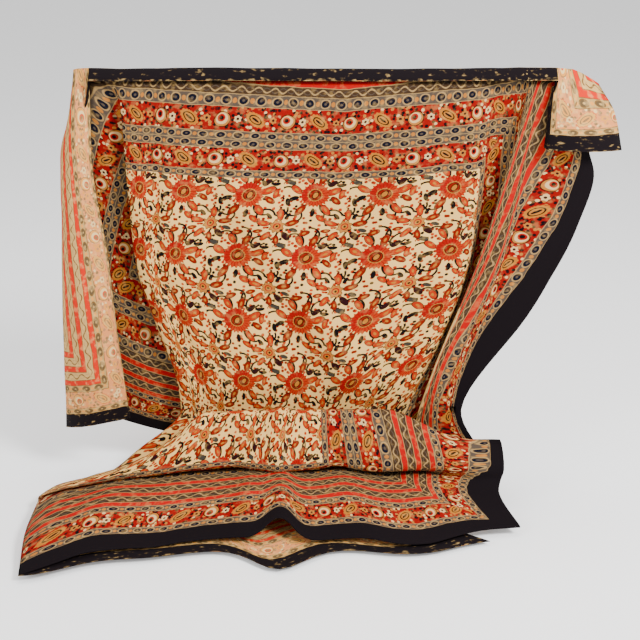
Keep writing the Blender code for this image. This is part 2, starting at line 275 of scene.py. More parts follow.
def ear_section(row):
    drop, hem, turn, face, fold, inner, bulk = row
    low, high = -drop * (1 + EAR_SLANT), -drop * (1 - 0.4 * EAR_SLANT)
    return np.array([
        (hem, -0.012 - 0.25 * bulk, high), (turn, -0.022 - 0.6 * bulk, high),
        (face, -0.022 - bulk, -drop), (fold, -0.004, low), (inner, 0.012, low),
    ])


def strip_sheet(body, cloth, shares):
    """The strip turned over at the top, joined to the body along both ears and the edge."""
    line = np.concatenate([body[0, ::-1], body[1:-1, 0], body[-1]])
    mat = np.concatenate([cloth[0, ::-1], cloth[1:-1, 0], cloth[-1]])
    down, across = body.shape[1], body.shape[0]
    left = [ear_section(row) for row in LEFT_EAR.values()]
    left_drop = [row[0] for row in LEFT_EAR.values()]
    right = [ear_section(row) for row in RIGHT_EAR.values()]
    right_drop = [row[0] for row in RIGHT_EAR.values()]
    edge = np.array(list(EDGE_PROFILE.values()))

    def edge_section(x, sag):
        return np.array([(x, y, z - sag * (z < -0.02)) for y, z in edge])

    sections = []
    corner_left = edge_section(line[down][0] - 0.012, 0.0)
    corner_left[2] += (-0.040, -0.046, 0.042)
    corner_left[3] += (-0.050, -0.010, 0.020)
    corner_left[4] += (-0.024, 0.006, -0.010)
    corner_right = edge_section(line[-down][0] + 0.012, 0.0)
    corner_right[2] += (0.040, -0.046, 0.042)
    corner_right[3] += (0.116, -0.010, 0.066)
    corner_right[4] += (0.028, 0.006, -0.010)
    left_keys = left_drop + [0.03]
    left_rows = left + [corner_left]
    right_keys = [0.02] + right_drop[::-1]
    right_rows = [corner_right] + right[::-1]
    for i, place in enumerate(line):
        drop = -place[2]
        if i < down:
            order = np.argsort(left_keys)
            key = np.array(left_keys)[order]
            sections.append(spline(key, np.array(left_rows)[order], [drop])[0])
        elif i >= len(line) - down:
            order = np.argsort(right_keys)
            key = np.array(right_keys)[order]
            sections.append(spline(key, np.array(right_rows)[order], [drop])[0])
        else:
            share = (i - down) / max(across - 3, 1)
            plain = edge_section(place[0], 0.012 * np.sin(3.1416 * share))
            start = np.clip(1 - (place[0] - line[down][0]) / 0.05, 0, 1)
            stop = np.clip(1 - (line[-down][0] - place[0]) / 0.05, 0, 1)
            plain += start * (corner_left - edge_section(line[down][0], 0))
            plain += stop * (corner_right - edge_section(line[-down][0], 0))
            sections.append(plain)
    knots = np.array(STRIP_SHARES)
    across_strip = np.interp(shares, knots, STRIP_CLOTH)
    points, flat = [], []
    for i, place in enumerate(line):
        stack = np.vstack([sections[i], place])
        points.append(spline(knots, stack, shares))
        v = mat[i, 1] * across_strip
        u = np.full(len(shares), mat[i, 0])
        flat.append(np.stack([u, v], 1))
    return np.array(points), np.array(flat)


def across_values(step):
    """Positions between the fold lines, closer where less cloth lies between them."""
    u_top, u_end, v_end = column("u_top"), column("u_end"), column("v_end")
    x_mid, x_lip = column("x_mid"), column("x_lip")
    values = [0.0]
    for i in range(len(FOLDS) - 1):
        wide = max(abs(u_top[i + 1] - u_top[i]), abs(x_mid[i + 1] - x_mid[i]),
                   abs(u_end[i + 1] - u_end[i]) * 0.8, abs(x_lip[i + 1] - x_lip[i]) * 0.8,
                   0.6 * abs(v_end[i + 1] - v_end[i]))
        pieces = int(min(max(round(wide / step), 2), MOST_BETWEEN / step))
        values += [i + (k + 1) / pieces for k in range(pieces)]
    return np.array(values)


def sheet_grid(step, rows, strip_rows):
    across = across_values(step)
    down = np.linspace(0, 1, rows + 1)
    body, cloth = body_sheet(across, down)
    shares = np.linspace(0, 1, strip_rows + 1)
    strip, flat = strip_sheet(body, cloth, shares)
    return body, cloth, strip, flat


def sheet_mesh(body, strip, cloth, flat):
    """One sheet of four-sided faces with its flat coordinates: the body, then the strip."""
    columns, rows = body.shape[:2]
    points = list(body.reshape(-1, 3))
    coords = list(cloth.reshape(-1, 2))
    border = [r for r in range(rows - 1, -1, -1)]
    border += [c * rows for c in range(1, columns - 1)]
    border += [(columns - 1) * rows + r for r in range(rows)]
    faces = []
    for c in range(columns - 1):
        for r in range(rows - 1):
            a = c * rows + r
            faces.append((a, a + 1, a + rows + 1, a + rows))
    wide = strip.shape[1]
    index = []
    for i, shared in enumerate(border):
        line = []
        for k in range(wide - 1):
            line.append(len(points))
            points.append(strip[i, k])
            coords.append(flat[i, k])
        index.append(line + [shared])
    for i in range(len(border) - 1):
        for k in range(wide - 1):
            faces.append((index[i][k], index[i][k + 1], index[i + 1][k + 1], index[i + 1][k]))
    return np.array(points), faces, np.array(coords)


CREASE_SCALE = 1.5
# Each row is a soft crease of the hanging and gathered cloth: where it starts and ends
# on the flat cloth, how far it reaches to each side, and how deep it is.
CREASE_COLUMNS = ("u0", "v0", "u1", "v1", "reach", "depth")
CREASES = (
    (1.30, 0.55, 1.66, 1.10, 0.035, 0.010),
    (1.36, 0.50, 1.74, 1.04, 0.030, -0.007),
    (1.12, 0.40, 1.25, 1.10, 0.022, 0.006),
    (1.60, 0.30, 1.52, 1.10, 0.045, 0.006),
    (1.78, 0.34, 1.70, 1.12, 0.040, -0.007),
    (1.88, 0.40, 1.78, 1.12, 0.026, 0.007),
    (1.20, 0.31, 1.90, 0.33, 0.030, -0.004),
    (2.32, 0.30, 2.36, 1.10, 0.035, 0.006),
    (2.40, 0.50, 2.28, 1.20, 0.030, -0.005),
    (0.20, 0.05, 0.75, 0.12, 0.030, 0.004),
    (0.10, 0.16, 0.70, 0.20, 0.030, -0.004),
    (1.72, 2.25, 1.70, 1.98, 0.030, -0.010),
    (1.82, 2.25, 1.84, 2.02, 0.024, -0.008),
    (1.52, 2.25, 1.56, 1.98, 0.045, 0.003),
    (1.30, 2.25, 1.34, 2.00, 0.040, -0.010),
    (2.05, 2.25, 2.02, 1.98, 0.040, -0.010),
    (2.20, 2.25, 2.18, 2.00, 0.035, 0.003),
    (2.33, 2.10, 2.08, 1.86, 0.035, 0.003),
    (1.98, 1.70, 2.02, 1.86, 0.030, 0.008),
    (1.50, 1.62, 1.62, 1.80, 0.030, 0.010),
    (1.76, 1.60, 1.80, 1.80, 0.030, -0.008),
)


def crease_depth(u, v):
    """How far a place on the cloth is pushed off the smooth drape by its creases."""
    out = np.zeros_like(u)
    for u0, v0, u1, v1, reach, depth in CREASES:
        run = np.hypot(u1 - u0, v1 - v0)
        du, dv = (u1 - u0) / run, (v1 - v0) / run
        along = (u - u0) * du + (v - v0) * dv
        off = (u - u0) * dv - (v - v0) * du
        ends = np.clip((along + 0.08) / 0.16, 0, 1) * np.clip((run + 0.08 - along) / 0.16, 0, 1)
        out += CREASE_SCALE * depth * ends * np.exp(-0.5 * (off / reach) ** 2)
    return out


def ripple(u, v, depth):
    """Small uneven ripples, as of washed cotton that has been folded."""
    out = np.zeros_like(u)
    flat = out.reshape(-1)
    for i, (a, b) in enumerate(zip(u.reshape(-1), v.reshape(-1))):
        broad = noise.noise(Vector((a * 3.1, b * 1.7, 0.4)))
        small = noise.noise(Vector((a * 11.0, b * 8.0, 2.0)))
        flat[i] = depth * (1.3 * broad + 0.6 * small)
    return out


def normals_of(grid):
    down = np.gradient(grid, axis=1)
    across = np.gradient(grid, axis=0)
    normal = np.cross(across, down)
    return normal / (np.linalg.norm(normal, axis=2)[:, :, None] + 1e-9)


def finish_drape(body, cloth, strip, flat, depth):
    """Adds creases and ripples to the smooth sheets, fading out where they meet."""
    u, v = cloth[:, :, 0], cloth[:, :, 1]
    push = crease_depth(u, v) + ripple(u, v, depth)
    room = np.minimum(np.arange(body.shape[1]) / 14.0, 1.0)[None, :]
    side = np.minimum(np.arange(body.shape[0]) / 8.0, 1.0)
    room = room * np.minimum(side, side[::-1])[:, None]
    shown = np.clip((u - 1.00) / 0.10, 0.15, 1.0)
    beneath = np.clip((u - 1.20) / 0.12, 0.0, 1.0)
    shown = np.where(v > 1.4, np.minimum(shown, beneath), shown)
    body = body + normals_of(body) * (push * room * shown)[:, :, None]
    u, v = flat[:, :, 0], flat[:, :, 1]
    push = crease_depth(u, v) + ripple(u, v, depth)
    room = np.minimum((strip.shape[1] - 1 - np.arange(strip.shape[1])) / 6.0, 1.0)[None, :]
    strip = strip - normals_of(strip) * (push * room)[:, :, None]
    body[:, :, 2] = np.maximum(body[:, :, 2], FLOOR + 0.002)
    return body, strip

REPEAT_ACROSS = 0.157
REPEAT_DOWN = 0.178
PAISLEY_STEP = 0.155
LENS_STEP = 0.040
SCROLL_STEP = 0.040
LEAF_SCALE = 1.35
STEM_HALF = 0.0025
DEPTH = 1.85
BACK_WEAR = 0.35
BRUSH_STRETCH = 0.35

# The camera that matches the photograph, and the soft lights: place, size and power
CAMERA_PLACE = (0.015, -3.2, 0.62)
CAMERA_PITCH = 21.8
CAMERA_LENS = 72.0
SKY_STRENGTH = 0.85
FLOOR_GLOW = 0.22
FLOOR_SIZE = 40
FLOOR_GAP = 0.004
LIGHTS = (
    ("key", (2.4, -2.4, 2.2), 1.3, 300.0),
    ("fill", (-2.8, -2.2, 1.1), 2.0, 60.0),
    ("top", (0.0, 0.4, 2.8), 2.4, 60.0),
)


# The print, as shader nodes that read the cloth's own flat coordinates in metres


class Loom:
    """Small helpers that lay out the nodes of one printed side."""

    def __init__(self, material):
        self.tree = material.node_tree
        self.count = 0

    def node(self, kind, *inputs, **settings):
        made = self.tree.nodes.new(kind)
        self.count += 1
        made.location = (180 * (self.count % 24), -160 * (self.count // 24))
        for name, value in settings.items():
            setattr(made, name, value)
        for i, value in enumerate(inputs):
            if value is None:
                continue
            if isinstance(value, bpy.types.NodeSocket):
                self.tree.links.new(value, made.inputs[i])
            else:
                made.inputs[i].default_value = value
        return made

    def math(self, operation, *inputs):
        return self.node("ShaderNodeMath", *inputs, operation=operation).outputs[0]

    def below(self, value, limit, soft=0.0009):
        """1 where value is under limit, 0 over it, with a soft edge."""
        if not isinstance(value, bpy.types.NodeSocket):
            value, limit, soft = limit, value, -soft
        elif isinstance(limit, bpy.types.NodeSocket):
            value, limit = self.math("SUBTRACT", value, limit), 0.0
        return self.node("ShaderNodeMapRange", value, limit + soft / 2, limit - soft / 2,
                         interpolation_type="SMOOTHSTEP").outputs[0]

    def both(self, *masks):
        out = masks[0]
        for mask in masks[1:]:
            out = self.math("MULTIPLY", out, mask)
        return out

    def either(self, *masks):
        out = masks[0]
        for mask in masks[1:]:
            out = self.math("MAXIMUM", out, mask)
        return out

    def within(self, value, low, high, soft=0.0009):
        return self.both(self.below(value, high, soft), self.below(low, value, soft))

    def paint(self, under, mask, colour):
        made = self.node("ShaderNodeMix", data_type="RGBA")
        self.tree.links.new(mask, made.inputs[0])
        for socket, value in ((made.inputs[6], under), (made.inputs[7], colour)):
            if isinstance(value, bpy.types.NodeSocket):
                self.tree.links.new(value, socket)
            else:
                socket.default_value = value
        return made.outputs[2]

    def point(self, x, y):
        return self.node("ShaderNodeCombineXYZ", x, y, 1.0).outputs[0]

    def dot(self, place, row):
        made = self.node("ShaderNodeVectorMath", place, row, operation="DOT_PRODUCT")
        return made.outputs["Value"]

    def oval(self, place, x, y, long, wide, turn=0.0):
        """How far out a place is from an oval's middle, 1 on its rim."""
        c, s = math.cos(math.radians(turn)), math.sin(math.radians(turn))
        a = self.dot(place, (c / long, s / long, -(x * c + y * s) / long))
        b = self.dot(place, (-s / wide, c / wide, (x * s - y * c) / wide))
        return self.math("SQRT", self.math("MULTIPLY_ADD", b, b, self.math("MULTIPLY", a, a)))

    def polar(self, x, y):
        across = self.math("MULTIPLY", x, x)
        return (
            self.math("SQRT", self.math("MULTIPLY_ADD", y, y, across)),
            self.math("ARCTAN2", y, x),
        )

    def flutes(self, angle, count, shift=0.0):
        """A ridge wave, 0 to 1, that repeats count times round a flower."""
        turned = self.math("MULTIPLY_ADD", angle, count / math.tau, shift)
        return self.math("PINGPONG", turned, 0.5)


# Each row is a leaf or bud of the field's repeat: its middle, half sizes, turn and colour.
LEAF_COLUMNS = ("frame", "x", "y", "long", "wide", "turn", "colour")
LEAVES = (
    ("flower", 0.044, 0.012, 0.0120, 0.0062, 30, "orange"),
    ("flower", 0.050, -0.014, 0.0095, 0.0050, -40, "rust"),
    ("flower", -0.046, 0.016, 0.0115, 0.0058, 140, "orange"),
    ("flower", -0.050, -0.010, 0.0095, 0.0048, 200, "dark"),
    ("flower", 0.014, 0.046, 0.0115, 0.0056, 70, "rust"),
    ("flower", -0.020, 0.047, 0.0105, 0.0052, 120, "orange"),
    ("flower", 0.030, -0.042, 0.0115, 0.0056, -55, "orange"),
    ("flower", -0.030, -0.044, 0.0120, 0.0060, -125, "rust"),
    ("flower", 0.000, -0.050, 0.0085, 0.0040, 90, "dark"),
    ("flower", 0.060, 0.030, 0.0075, 0.0036, 10, "dark"),
    ("flower", -0.062, 0.036, 0.0080, 0.0040, 160, "grey"),
    ("flower", 0.038, 0.034, 0.0080, 0.0042, 45, "plum"),
    ("rosette", 0.034, 0.008, 0.0110, 0.0055, 15, "rust"),
    ("rosette", -0.033, 0.010, 0.0105, 0.0052, 165, "orange"),
    ("rosette", 0.024, -0.028, 0.0095, 0.0050, -50, "plum"),
    ("rosette", -0.024, -0.026, 0.0100, 0.0050, 230, "orange"),
    ("rosette", 0.004, 0.033, 0.0105, 0.0052, 95, "orange"),
    ("rosette", 0.020, 0.028, 0.0070, 0.0035, 60, "dark"),
    ("rosette", -0.022, 0.030, 0.0075, 0.0036, 130, "dark"),
    ("rosette", 0.040, -0.012, 0.0070, 0.0034, -20, "grey"),
    ("rosette", -0.042, -0.012, 0.0075, 0.0036, 190, "rust"),
    ("rosette", 0.002, -0.037, 0.0090, 0.0045, -80, "rust"),
    ("flower", 0.062, 0.004, 0.0090, 0.0045, 80, "orange"),
    ("flower", -0.012, 0.068, 0.0095, 0.0048, 20, "rust"),
    ("flower", 0.020, -0.066, 0.0090, 0.0046, 140, "orange"),
    ("flower", -0.064, -0.020, 0.0085, 0.0042, 100, "dark"),
)
# Each row is a curved stem, half a circle: its middle, its radius and the way it faces.
STEM_COLUMNS = ("frame", "x", "y", "radius", "facing")
STEMS = (
    ("flower", 0.042, -0.030, 0.026, 200),
    ("flower", -0.034, 0.042, 0.025, 50),
    ("flower", 0.050, 0.040, 0.024, 120),
    ("flower", -0.046, -0.036, 0.024, 280),
    ("flower", 0.004, 0.064, 0.020, 20),
    ("flower", -0.066, 0.006, 0.018, 160),
    ("rosette", 0.022, -0.030, 0.022, 195),
    ("rosette", -0.030, 0.028, 0.021, 100),
    ("rosette", 0.036, 0.030, 0.018, 10),
    ("rosette", -0.040, -0.030, 0.024, 230),
    ("rosette", 0.002, 0.046, 0.016, 300),
)


def tone(hex_value):
    """A linear colour from the six digits of a screen colour, deepened by DEPTH."""
    parts = [int(hex_value[i:i + 2], 16) / 255 for i in (0, 2, 4)]
    linear = [((p + 0.055) / 1.055) ** 2.4 if p > 0.04045 else p / 12.92 for p in parts]
    return tuple(p ** DEPTH for p in linear) + (1.0,)


FRONT_TONES = {
    "cream": tone("EDD29C"), "orange": tone("C4602C"), "crimson": tone("BC2B25"),
    "rust": tone("A8451F"), "dark": tone("382E34"), "grey": tone("6F6A62"),
    "plum": tone("5E3338"), "tan": tone("C89A55"), "red": tone("B02A22"),
    "stripe": tone("C62824"), "taupe": tone("84796F"), "navy": tone("343A50"),
    "brown": tone("73614F"), "scroll": tone("BBA684"), "hem": tone("40363C"),
    "pale": tone("DFC9A4"), "gold": tone("C79A60"),
}
BACK_TONES = {
    "cream": tone("EFD7A8"), "orange": tone("E0B084"), "crimson": tone("D98A68"),
    "rust": tone("DBA982"), "dark": tone("B49C7C"), "grey": tone("D2B994"),
    "plum": tone("CDA98A"), "tan": tone("E3BE84"), "red": tone("E6B488"),
    "stripe": tone("DE5F40"), "taupe": tone("CFB78C"), "navy": tone("94846C"),
    "brown": tone("D9C094"), "scroll": tone("A48A66"), "hem": tone("453B40"),
    "pale": tone("EAD6AE"), "gold": tone("E6B878"),
}

# Each row is a band of the border: its outer and inner distance from the cloth's edge.
BAND_COLUMNS = ("outer", "inner", "ground", "ornament")
BANDS = (
    (0.000, 0.054, "hem", "none"),
    (0.054, 0.074, "taupe", "lens"),
    (0.074, 0.131, "red", "paisley"),
    (0.131, 0.151, "taupe", "lens"),
    (0.151, 0.167, "stripe", "none"),
    (0.167, 0.191, "brown", "scroll"),
    (0.191, 0.207, "stripe", "none"),
    (0.207, 0.231, "brown", "scroll"),
    (0.231, 0.247, "stripe", "none"),
    (0.247, 0.271, "brown", "scroll"),
    (0.271, 0.301, "taupe", "lens"),
    (0.301, 0.363, "red", "paisley"),
    (0.363, 0.385, "taupe", "lens"),
    (0.385, 0.408, "taupe", "lens"),
    (0.408, 0.468, "red", "paisley"),
    (0.468, 0.488, "taupe", "lens"),
)


def print_buds(loom, place, tones):
    """Small buds and seeds that fill the cream ground between the flowers."""
    cells = loom.node("ShaderNodeTexVoronoi", place, feature="F1", voronoi_dimensions="2D")
    cells.inputs["Scale"].default_value = 78.0
    bits = loom.node("ShaderNodeSeparateColor", cells.outputs["Color"])
    buds = loom.below(cells.outputs["Distance"], 0.30, 0.12)
    ground = tones["cream"]
    for socket, low, colour in ((bits.outputs[0], 0.74, "dark"), (bits.outputs[1], 0.56, "rust"),
                                (bits.outputs[2], 0.56, "orange")):
        ground = loom.paint(ground, loom.both(buds, loom.below(low, socket, 0.02)), tones[colour])
    return ground


def print_field(loom, u, v, tones):
    """The flowered ground: a sunflower and a rosette by turns, with stems and leaves."""
    wide, tall = REPEAT_ACROSS, REPEAT_DOWN
    frames = {}
    for name, shift in (("flower", 0.0), ("rosette", 0.5)):
        x = loom.math("WRAP", loom.math("ADD", u, shift * wide), wide / 2, -wide / 2)
        y = loom.math("WRAP", loom.math("ADD", v, shift * tall), tall / 2, -tall / 2)
        y = loom.math("MULTIPLY", y, -1.0)
        frames[name] = (x, y, loom.point(x, y))
    ground = print_buds(loom, frames["flower"][2], tones)
    masks = {}

    def add(colour, mask):
        masks[colour] = loom.either(masks[colour], mask) if colour in masks else mask

    for name, x, y, radius, facing in STEMS:
        place = frames[name][2]
        out = loom.oval(place, x, y, radius, radius)
        ring = loom.within(out, 1 - STEM_HALF / radius, 1 + STEM_HALF / radius, 0.05)
        c, s = math.cos(math.radians(facing)), math.sin(math.radians(facing))
        side = loom.dot(place, (c, s, -(x * c + y * s)))
        add("dark", loom.both(ring, loom.below(0.0, side)))
    for name, x, y, long, wide_half, turn, colour in LEAVES:
        out = loom.oval(frames[name][2], x, y, LEAF_SCALE * long, LEAF_SCALE * wide_half, turn)
        if colour != "dark":
            add("dark", loom.below(out, 1.17, 0.12))
        add(colour, loom.below(out, 1.0, 0.16))
        if colour in ("orange", "rust"):
            add("tan", loom.below(out, 0.38, 0.3))
    for colour in ("dark", "grey", "plum", "rust", "orange", "tan"):
        ground = loom.paint(ground, masks[colour], tones[colour])
    x, y, place = frames["rosette"]
    radius, angle = loom.polar(x, y)
    lobes = loom.math("MULTIPLY_ADD", loom.flutes(angle, 8), 0.011, 0.0125)
    ground = loom.paint(ground, loom.below(radius, loom.math("ADD", lobes, 0.0016)), tones["dark"])
    ground = loom.paint(ground, loom.below(radius, lobes), tones["gold"])
    ground = loom.paint(ground, loom.below(radius, 0.0092), tones["crimson"])
    ground = loom.paint(ground, loom.below(radius, 0.0062), tones["tan"])
    ground = loom.paint(ground, loom.below(radius, 0.0030), tones["dark"])
    x, y, place = frames["flower"]
    radius, angle = loom.polar(x, y)
    fringe = loom.flutes(angle, 22)
    rim = loom.math("MULTIPLY_ADD", fringe, 0.014, 0.0285)
    upper = loom.math("MULTIPLY_ADD", x, -0.75, loom.math("MULTIPLY", y, 0.66))
    ground = loom.paint(ground, loom.below(radius, loom.math("ADD", rim, 0.0013)), tones["rust"])
    ground = loom.paint(ground, loom.below(radius, rim), tones["orange"])
    arc = loom.both(loom.below(radius, 0.0325), loom.below(0.004, upper, 0.006))
    ground = loom.paint(ground, arc, tones["crimson"])
    spoke = loom.both(loom.below(fringe, 0.11, 0.08), loom.within(radius, 0.0165, 0.031))
    ground = loom.paint(ground, spoke, tones["rust"])
    inner = loom.math("MULTIPLY_ADD", loom.flutes(angle, 16), 0.005, 0.0165)
    ground = loom.paint(ground, loom.below(radius, inner), tones["gold"])
    ground = loom.paint(ground, loom.below(radius, 0.0150), tones["dark"])
    ground = loom.paint(ground, loom.below(radius, 0.0132), tones["rust"])
    heart = loom.oval(place, 0.001, 0.0, 0.0112, 0.0072, 60)
    ground = loom.paint(ground, loom.below(heart, 1.0, 0.12), tones["dark"])
    ground = loom.paint(ground, loom.below(heart, 0.74, 0.12), tones["tan"])
    return ground


def print_paisley(loom, place, along, across, tones):
    """A red band's ornament: a slanting scalloped leaf and a round crescent by turns."""
    step = PAISLEY_STEP
    ground = tones["red"]
    cells = loom.node("ShaderNodeTexVoronoi", place, feature="F1", voronoi_dimensions="2D")
    cells.inputs["Scale"].default_value = 105.0
    bits = loom.node("ShaderNodeSeparateColor", cells.outputs["Color"])
    dots = loom.below(cells.outputs["Distance"], 0.42, 0.12)
    for socket, low, high, colour in (
        (bits.outputs[0], 0.58, 1.1, "dark"), (bits.outputs[1], 0.82, 1.1, "pale"),
        (bits.outputs[2], 0.82, 1.1, "gold"), (bits.outputs[0], -0.1, 0.16, "plum"),
    ):
        chosen = loom.within(socket, low, high, 0.02)
        ground = loom.paint(ground, loom.both(dots, chosen), tones[colour])
    x = loom.math("WRAP", along, step / 2, -step / 2)
    here = loom.point(x, across)
    leaf = loom.oval(here, 0.0, 0.0, 0.0250, 0.0132, 38)
    turned, angle = loom.polar(x, across)
    scallop = loom.math("MULTIPLY_ADD", loom.flutes(angle, 18), 0.26, 1.0)
    rim = loom.math("ADD", scallop, 0.09)
    ground = loom.paint(ground, loom.below(leaf, rim, 0.06), tones["crimson"])
    ground = loom.paint(ground, loom.below(leaf, scallop, 0.06), tones["tan"])
    ground = loom.paint(ground, loom.within(leaf, 0.56, 0.72, 0.06), tones["dark"])
    ground = loom.paint(ground, loom.below(leaf, 0.50, 0.06), tones["gold"])
    slit = loom.oval(here, 0.0, 0.0, 0.0110, 0.0026, 38)
    ground = loom.paint(ground, loom.below(slit, 1.0, 0.2), tones["dark"])
    x = loom.math("WRAP", loom.math("ADD", along, step / 2), step / 2, -step / 2)
    here = loom.point(x, across)
    moon = loom.oval(here, 0.0, 0.002, 0.0170, 0.0175)
    ground = loom.paint(ground, loom.below(moon, 1.12, 0.06), tones["dark"])
    ground = loom.paint(ground, loom.below(moon, 1.0, 0.06), tones["gold"])
    shade = loom.oval(here, -0.001, 0.0, 0.0132, 0.0138)
    ground = loom.paint(ground, loom.below(shade, 1.0, 0.06), tones["pale"])
    heart = loom.oval(here, -0.003, -0.002, 0.0088, 0.0094)
    ground = loom.paint(ground, loom.below(heart, 1.0, 0.1), tones["crimson"])
    ground = loom.paint(ground, loom.below(heart, 0.55, 0.1), tones["dark"])
    for side in (-1, 1):
        x = loom.math("WRAP", loom.math("ADD", along, side * step * 0.27), step / 2, -step / 2)
        round_out, angle = loom.polar(x, across)
        bloom = loom.math("MULTIPLY_ADD", loom.flutes(angle, 6), 0.006, 0.0070)
        petals = tones["gold" if side < 0 else "pale"]
        ground = loom.paint(ground, loom.below(round_out, bloom), petals)
        ground = loom.paint(ground, loom.below(round_out, 0.0034), tones["plum"])
    return ground


def printed_side(name, tones, fade, brushed=False):
    """One side of the cloth: bands by distance from the nearest edge, the field inside."""
    material = bpy.data.materials.new(name)
    material.use_nodes = True
    loom = Loom(material)
    surface = material.node_tree.nodes["Principled BSDF"]
    flat = loom.node("ShaderNodeUVMap", uv_map="flat_metres").outputs[0]
    drift = loom.node("ShaderNodeTexNoise", flat, noise_dimensions="2D")
    drift.inputs["Scale"].default_value = 26.0
    drift.inputs["Detail"].default_value = 1.0
    shifted = loom.node("ShaderNodeVectorMath", drift.outputs["Color"], (0.5, 0.5, 0.5),
                        operation="SUBTRACT")
    wobble = loom.node("ShaderNodeVectorMath", shifted.outputs[0], operation="SCALE")
    wobble.inputs["Scale"].default_value = 0.0045
    place = loom.node("ShaderNodeVectorMath", flat, wobble.outputs[0], operation="ADD").outputs[0]
    parts = loom.node("ShaderNodeSeparateXYZ", place)
    u, v = parts.outputs[0], parts.outputs[1]
    side = loom.math("MINIMUM", u, loom.math("SUBTRACT", CLOTH_WIDTH, u))
    end = loom.math("MINIMUM", v, loom.math("SUBTRACT", CLOTH_LENGTH, v))
    deep = loom.math("MINIMUM", side, end)
    upright = loom.math("LESS_THAN", side, end)
    along = loom.math("ADD", loom.math("MULTIPLY", upright, v),
                      loom.math("MULTIPLY", loom.math("SUBTRACT", 1.0, upright), u))
    colour = print_field(loom, u, v, tones)
    grounds = {}
    for outer, inner, ground, ornament in BANDS:
        middle, half = (outer + inner) / 2, (inner - outer) / 2
        if ornament != "none":
            gap = loom.math("SUBTRACT", deep, middle)
            share = loom.math("MULTIPLY", gap, 1.0 if ornament == "paisley" else 1.0 / half)
            old = grounds.get(ornament)
            if old is None:
                grounds[ornament] = share
            else:
                near, far = loom.math("ABSOLUTE", share), loom.math("ABSOLUTE", old)
                small = loom.math("LESS_THAN", near, far)
                kept = loom.math("MULTIPLY", old, loom.math("SUBTRACT", 1.0, small))
                grounds[ornament] = loom.math("MULTIPLY_ADD", share, small, kept)
    paisley = print_paisley(loom, place, along, grounds["paisley"], tones)
    for outer, inner, ground, ornament in BANDS:
        fill = paisley if ornament == "paisley" else tones[ground]
        colour = loom.paint(colour, loom.within(deep, outer, inner), fill)
    lens = loom.math("ABSOLUTE", grounds["lens"])
    wave = loom.math("WRAP", along, LENS_STEP / 2, -LENS_STEP / 2)
    out = loom.oval(loom.point(wave, lens), 0.0, 0.0, 0.010, 0.62)
    in_lens = loom.below(lens, 0.98, 0.05)
    colour = loom.paint(colour, loom.both(in_lens, loom.below(out, 1.35, 0.12)), tones["scroll"])
    colour = loom.paint(colour, loom.both(in_lens, loom.below(out, 1.0, 0.12)), tones["navy"])
    colour = loom.paint(colour, loom.both(in_lens, loom.below(out, 0.34, 0.15)), tones["taupe"])
    mid = loom.math("WRAP", loom.math("ADD", along, LENS_STEP / 2), LENS_STEP / 2, -LENS_STEP / 2)
    out = loom.oval(loom.point(mid, lens), 0.0, 0.0, 0.0050, 0.42)
    colour = loom.paint(colour, loom.both(in_lens, loom.below(out, 1.0, 0.15)), tones["gold"])
    turn = loom.math("SINE", loom.math("MULTIPLY", along, math.tau / SCROLL_STEP))
    curl = loom.math("MULTIPLY_ADD", turn, -0.5, grounds["scroll"])
    in_scroll = loom.below(loom.math("ABSOLUTE", grounds["scroll"]), 0.86, 0.05)
    stroke = loom.below(loom.math("ABSOLUTE", curl), 0.17, 0.12)
    colour = loom.paint(colour, loom.both(in_scroll, stroke), tones["scroll"])
    twin = loom.math("MULTIPLY_ADD", turn, 0.5, grounds["scroll"])
    fine = loom.below(loom.math("ABSOLUTE", twin), 0.08, 0.12)
    colour = loom.paint(colour, loom.both(in_scroll, fine), tones["taupe"])
    for outer, inner, ground, ornament in BANDS[1:]:
        line = loom.within(deep, outer - 0.0009, outer + 0.0009, 0.0008)
        colour = loom.paint(colour, line, tones["scroll"])
    worn = loom.node("ShaderNodeTexNoise", flat, noise_dimensions="2D")
    worn.inputs["Scale"].default_value = 60.0
    worn.inputs["Detail"].default_value = 4.0
    thin = loom.math("MULTIPLY", loom.below(0.60, worn.outputs["Fac"], 0.25), fade)
    colour = loom.paint(colour, thin, tones["cream"])
    hem = loom.below(deep, BANDS[0][1])
    if brushed:
        stretched = loom.point(loom.math("MULTIPLY", along, BRUSH_STRETCH), deep)
        marks = loom.node("ShaderNodeTexNoise", stretched)
        marks.inputs["Scale"].default_value = 90.0
        hem = loom.both(hem, loom.below(marks.outputs["Fac"], 0.60, 0.08), loom.below(0.004, deep))
    colour = loom.paint(colour, hem, tones["hem"])
    broad = loom.node("ShaderNodeTexNoise", flat, noise_dimensions="2D")
    broad.inputs["Scale"].default_value = 3.0
    value = loom.math("MULTIPLY_ADD", broad.outputs["Fac"], 0.20, 0.90)
    toned = loom.node("ShaderNodeHueSaturation")
    loom.tree.links.new(value, toned.inputs["Value"])
    loom.tree.links.new(colour, toned.inputs["Color"])
    loom.tree.links.new(toned.outputs[0], surface.inputs["Base Color"])
    surface.inputs["Roughness"].default_value = 0.92
    surface.inputs["Specular IOR Level"].default_value = 0.10
    return material


# The add-on: sizes and colours a user would change, one operator for each piece


class PanelSizes(bpy.types.PropertyGroup):
    """Sizes of the cloth's finish."""
    thickness: bpy.props.FloatProperty(
        name="Thickness", description="How thick the cotton is", default=0.0012, unit="LENGTH")
    ripple: bpy.props.FloatProperty(
        name="Ripple", description="How deep the small ripples are", default=0.0030, unit="LENGTH")
    column_step: bpy.props.FloatProperty(
        name="Column step", description="Cloth between two columns of faces",
        default=0.0195, unit="LENGTH")
    rows: bpy.props.IntProperty(
        name="Rows", description="Rows of faces from the top edge to the hem", default=146)


